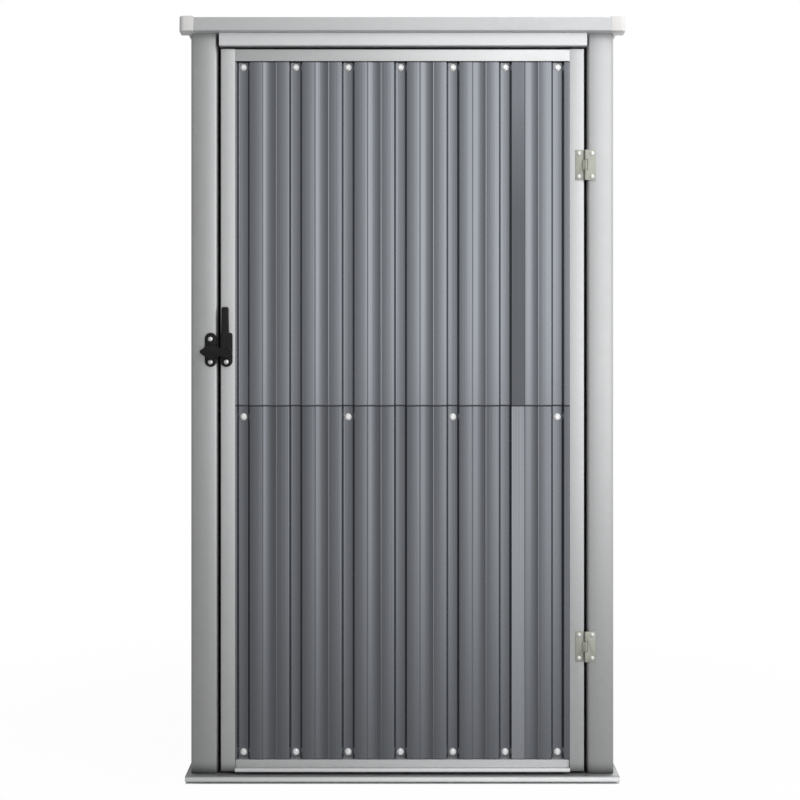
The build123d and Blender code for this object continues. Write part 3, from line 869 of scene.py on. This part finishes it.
places = []
for wall in WALLS:
    places += row(f"{wall}_wall_lower_sheet", WALL_FOOT_ROW)
    places += row(f"{wall}_wall_lower_sheet", LAP_ROW, step=2, from_top=True)
    places += row(f"{wall}_wall_upper_sheet", WALL_HEAD_ROW, from_top=True)
purlin_low, purlin_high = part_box("roof_purlin")
purlin_back = back_edge.y - (purlin_low.y + purlin_high.y) / 2
places += row("roof_sheet", purlin_back / math.cos(tilt))
fix("shed_screws", hex_screw, "shed", places, **SCREW)

LEAF_GAUGE = 0.002
RIVET_INSET = 0.0073
RIVET_RISE = 0.024
leaf_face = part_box("door_right_stile")[0].y - LEAF_GAUGE
door_places = []
shed_places = []
for hinge in ("lower", "upper"):
    low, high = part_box(f"{hinge}_hinge_door_leaf")
    middle = (low.z + high.z) / 2
    post_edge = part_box(f"{hinge}_hinge_post_leaf")[1].x
    for z in (middle - RIVET_RISE, middle + RIVET_RISE):
        door_places.append((Vector((low.x + RIVET_INSET, leaf_face, z)), FRONT))
        shed_places.append((Vector((post_edge - RIVET_INSET, leaf_face, z)), FRONT))

LATCH_GAUGE = 0.005
KEEPER_RIVET_IN = 0.0117
KEEPER_RIVET_UP = 0.0101
KEEPER_RIVET_DOWN = 0.0133
PLATE_RIVET_IN = 0.0131
PLATE_RIVET_UP = 0.0104
low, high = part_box("latch_keeper")
for z in (low.z + KEEPER_RIVET_UP, high.z - KEEPER_RIVET_DOWN):
    shed_places.append((Vector((low.x + KEEPER_RIVET_IN, low.y, z)), FRONT))
low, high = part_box("latch_base")
plate_rivet = Vector((low.x + PLATE_RIVET_IN, high.y - LATCH_GAUGE, low.z + PLATE_RIVET_UP))
door_places.append((plate_rivet, FRONT))
fix("door_rivets", rivet, "door", door_places, **RIVET)
fix("shed_rivets", rivet, "shed", shed_places, **RIVET)

# Floor, light and camera
# A pale floor that fades into the white surround, a soft light from the upper right, a cove that
# only the metal reflects, and a level camera in front of the door.


def stage_piece(name, form, material):
    """Make a form into a scene object with its material."""
    mesh = bpy.data.meshes.new(name)
    form.to_mesh(mesh)
    form.free()
    mesh.materials.append(material)
    piece = bpy.data.objects.new(name, mesh)
    bpy.context.scene.collection.objects.link(piece)
    return piece


FLOOR_RADIUS = 1.7
FADE_FROM = 0.6
FADE_TO = 1.65
SHADE_EDGE = 0.002
PAPER_WHITE = 0.97
foot_low, foot_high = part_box("base_front_rail")
pale_floor, board, place = new_finish("pale_floor")
x, y, _ = split(board, place)
reach = board.add("ShaderNodeVectorMath", {"operation": "LENGTH"}, {0: place}, "Value")
fade = (1 - (reach - FADE_FROM) / (FADE_TO - FADE_FROM)).clamped()
seen = board.add("ShaderNodeLightPath", output="Is Camera Ray")
mirrored = Wire(board, seen.socket.node.outputs["Is Glossy Ray"])
under_wide = ((foot_high.x - abs(x)) / SHADE_EDGE).clamped()
under_deep = ((-foot_low.y - abs(y)) / SHADE_EDGE).clamped()
outside = 1 - under_wide * under_deep
matt = board.add("ShaderNodeBsdfDiffuse", None, {"Color": grey(0.9)})
white = board.add("ShaderNodeEmission", None, {"Color": grey(1.0), "Strength": 1.0})
lit = PAPER_WHITE * seen * outside
paper = board.add("ShaderNodeMixShader", None, {0: lit, 1: matt, 2: white})
clear = board.add("ShaderNodeBsdfTransparent")
cover = fade * fade * (3 - 2 * fade) * (1 - mirrored * outside)
spot = board.add("ShaderNodeMixShader", None, {0: cover, 1: clear, 2: paper})
board.add("ShaderNodeOutputMaterial", None, {"Surface": spot})
form = bmesh.new()
bmesh.ops.create_circle(form, cap_ends=True, segments=96, radius=FLOOR_RADIUS)
stage_piece("floor", form, pale_floor)


def eased_between(board, value, low, high):
    """From 0 to 1 between two places, with soft ends."""
    spans = {"Value": value, "From Min": low, "From Max": high}
    return board.add("ShaderNodeMapRange", {"interpolation_type": "SMOOTHSTEP"}, spans)


COVE_RADIUS = 3.4
COVE_DEPTH = 8.0
RIGHT_SPAN = (-1.5, 1.1)
UPPER_SPAN = (-1.2, 0.3)
STRIP_LEFT_EDGE = (0.1, 0.8)
STRIP_RIGHT_EDGE = (1.5, 2.3)
STRIP_FOOT = (-0.6, 0.7)
LOW_LEFT_GLOW = 0.40
LOW_RIGHT_GLOW = 0.11
HIGH_LEFT_GLOW = 0.09
HIGH_RIGHT_GLOW = 0.86
STRIP_GLOW = 0.9
graded_card, board, place = new_finish("graded_card")
x, _, z = split(board, place)
right = eased_between(board, x, *RIGHT_SPAN)
upper = eased_between(board, z, *UPPER_SPAN)
strip = eased_between(board, x, *STRIP_LEFT_EDGE)
strip = strip * (1 - eased_between(board, x, *STRIP_RIGHT_EDGE))
strip = strip * eased_between(board, z, *STRIP_FOOT)
low_glow = LOW_LEFT_GLOW + LOW_RIGHT_GLOW * right
high_glow = HIGH_LEFT_GLOW + HIGH_RIGHT_GLOW * right
glow = low_glow + upper * high_glow + STRIP_GLOW * strip
card = board.add("ShaderNodeEmission", None, {"Color": grey(1.0), "Strength": glow})
board.add("ShaderNodeOutputMaterial", None, {"Surface": card})
form = bmesh.new()
bmesh.ops.create_cone(
    form,
    cap_ends=True,
    segments=64,
    radius1=COVE_RADIUS,
    radius2=COVE_RADIUS,
    depth=COVE_DEPTH,
)
cove = stage_piece("cove", form, graded_card)
cove.visible_camera = False
cove.visible_diffuse = False
cove.visible_shadow = False
cove.visible_transmission = False

AMBIENT = 0.45
world = bpy.data.worlds.new("surround")
world.use_nodes = True
bpy.context.scene.world = world
board = Board(world.node_tree)
seen = board.add("ShaderNodeLightPath", output="Is Camera Ray")
path = seen.socket.node.outputs
glossy = Wire(board, path["Is Glossy Ray"])
through = Wire(board, path["Is Transmission Ray"])
shown = (seen + glossy + through).clamped()
strength = AMBIENT + (1 - AMBIENT) * shown
surround = board.add("ShaderNodeBackground", None, {"Color": grey(1.0), "Strength": strength})
board.add("ShaderNodeOutputWorld", None, {"Surface": surround})

KEY_PLACE = Vector((1.7, -2.3, 2.5))
KEY_TARGET = Vector((0.15, -0.4, 1.1))
KEY_SIZE = 1.2
KEY_WATTS = 60.0
lamp = bpy.data.lights.new("key_light", "AREA")
lamp.shape = "RECTANGLE"
lamp.size = KEY_SIZE
lamp.size_y = KEY_SIZE
lamp.energy = KEY_WATTS
key_light = bpy.data.objects.new("key_light", lamp)
key_light.location = KEY_PLACE
key_light.rotation_euler = (KEY_TARGET - KEY_PLACE).to_track_quat("-Z", "Y").to_euler()
key_light.visible_glossy = False
bpy.context.scene.collection.objects.link(key_light)

PIXEL = 0.0020813
FRAME_PIXELS = 800
GROUND_ROW = 781.0
CENTRE_COLUMN = 402.3
CAMERA_SHIFT = -0.12
CAMERA_DISTANCE = 3.8
SENSOR_WIDTH = 36.0
camera = bpy.data.cameras.new("camera")
camera.sensor_width = SENSOR_WIDTH
camera.lens = SENSOR_WIDTH * CAMERA_DISTANCE / (FRAME_PIXELS * PIXEL)
camera.shift_y = CAMERA_SHIFT
eye = bpy.data.objects.new("camera", camera)
horizon_row = FRAME_PIXELS * (0.5 + CAMERA_SHIFT)
eye_height = (GROUND_ROW - horizon_row) * PIXEL
eye_side = (FRAME_PIXELS / 2 - CENTRE_COLUMN) * PIXEL
eye.location = (eye_side, front_post_low.y - CAMERA_DISTANCE, eye_height)
eye.rotation_euler = (math.radians(90), 0, 0)
bpy.context.scene.collection.objects.link(eye)
bpy.context.scene.camera = eye
bpy.context.scene.view_settings.view_transform = "Standard"
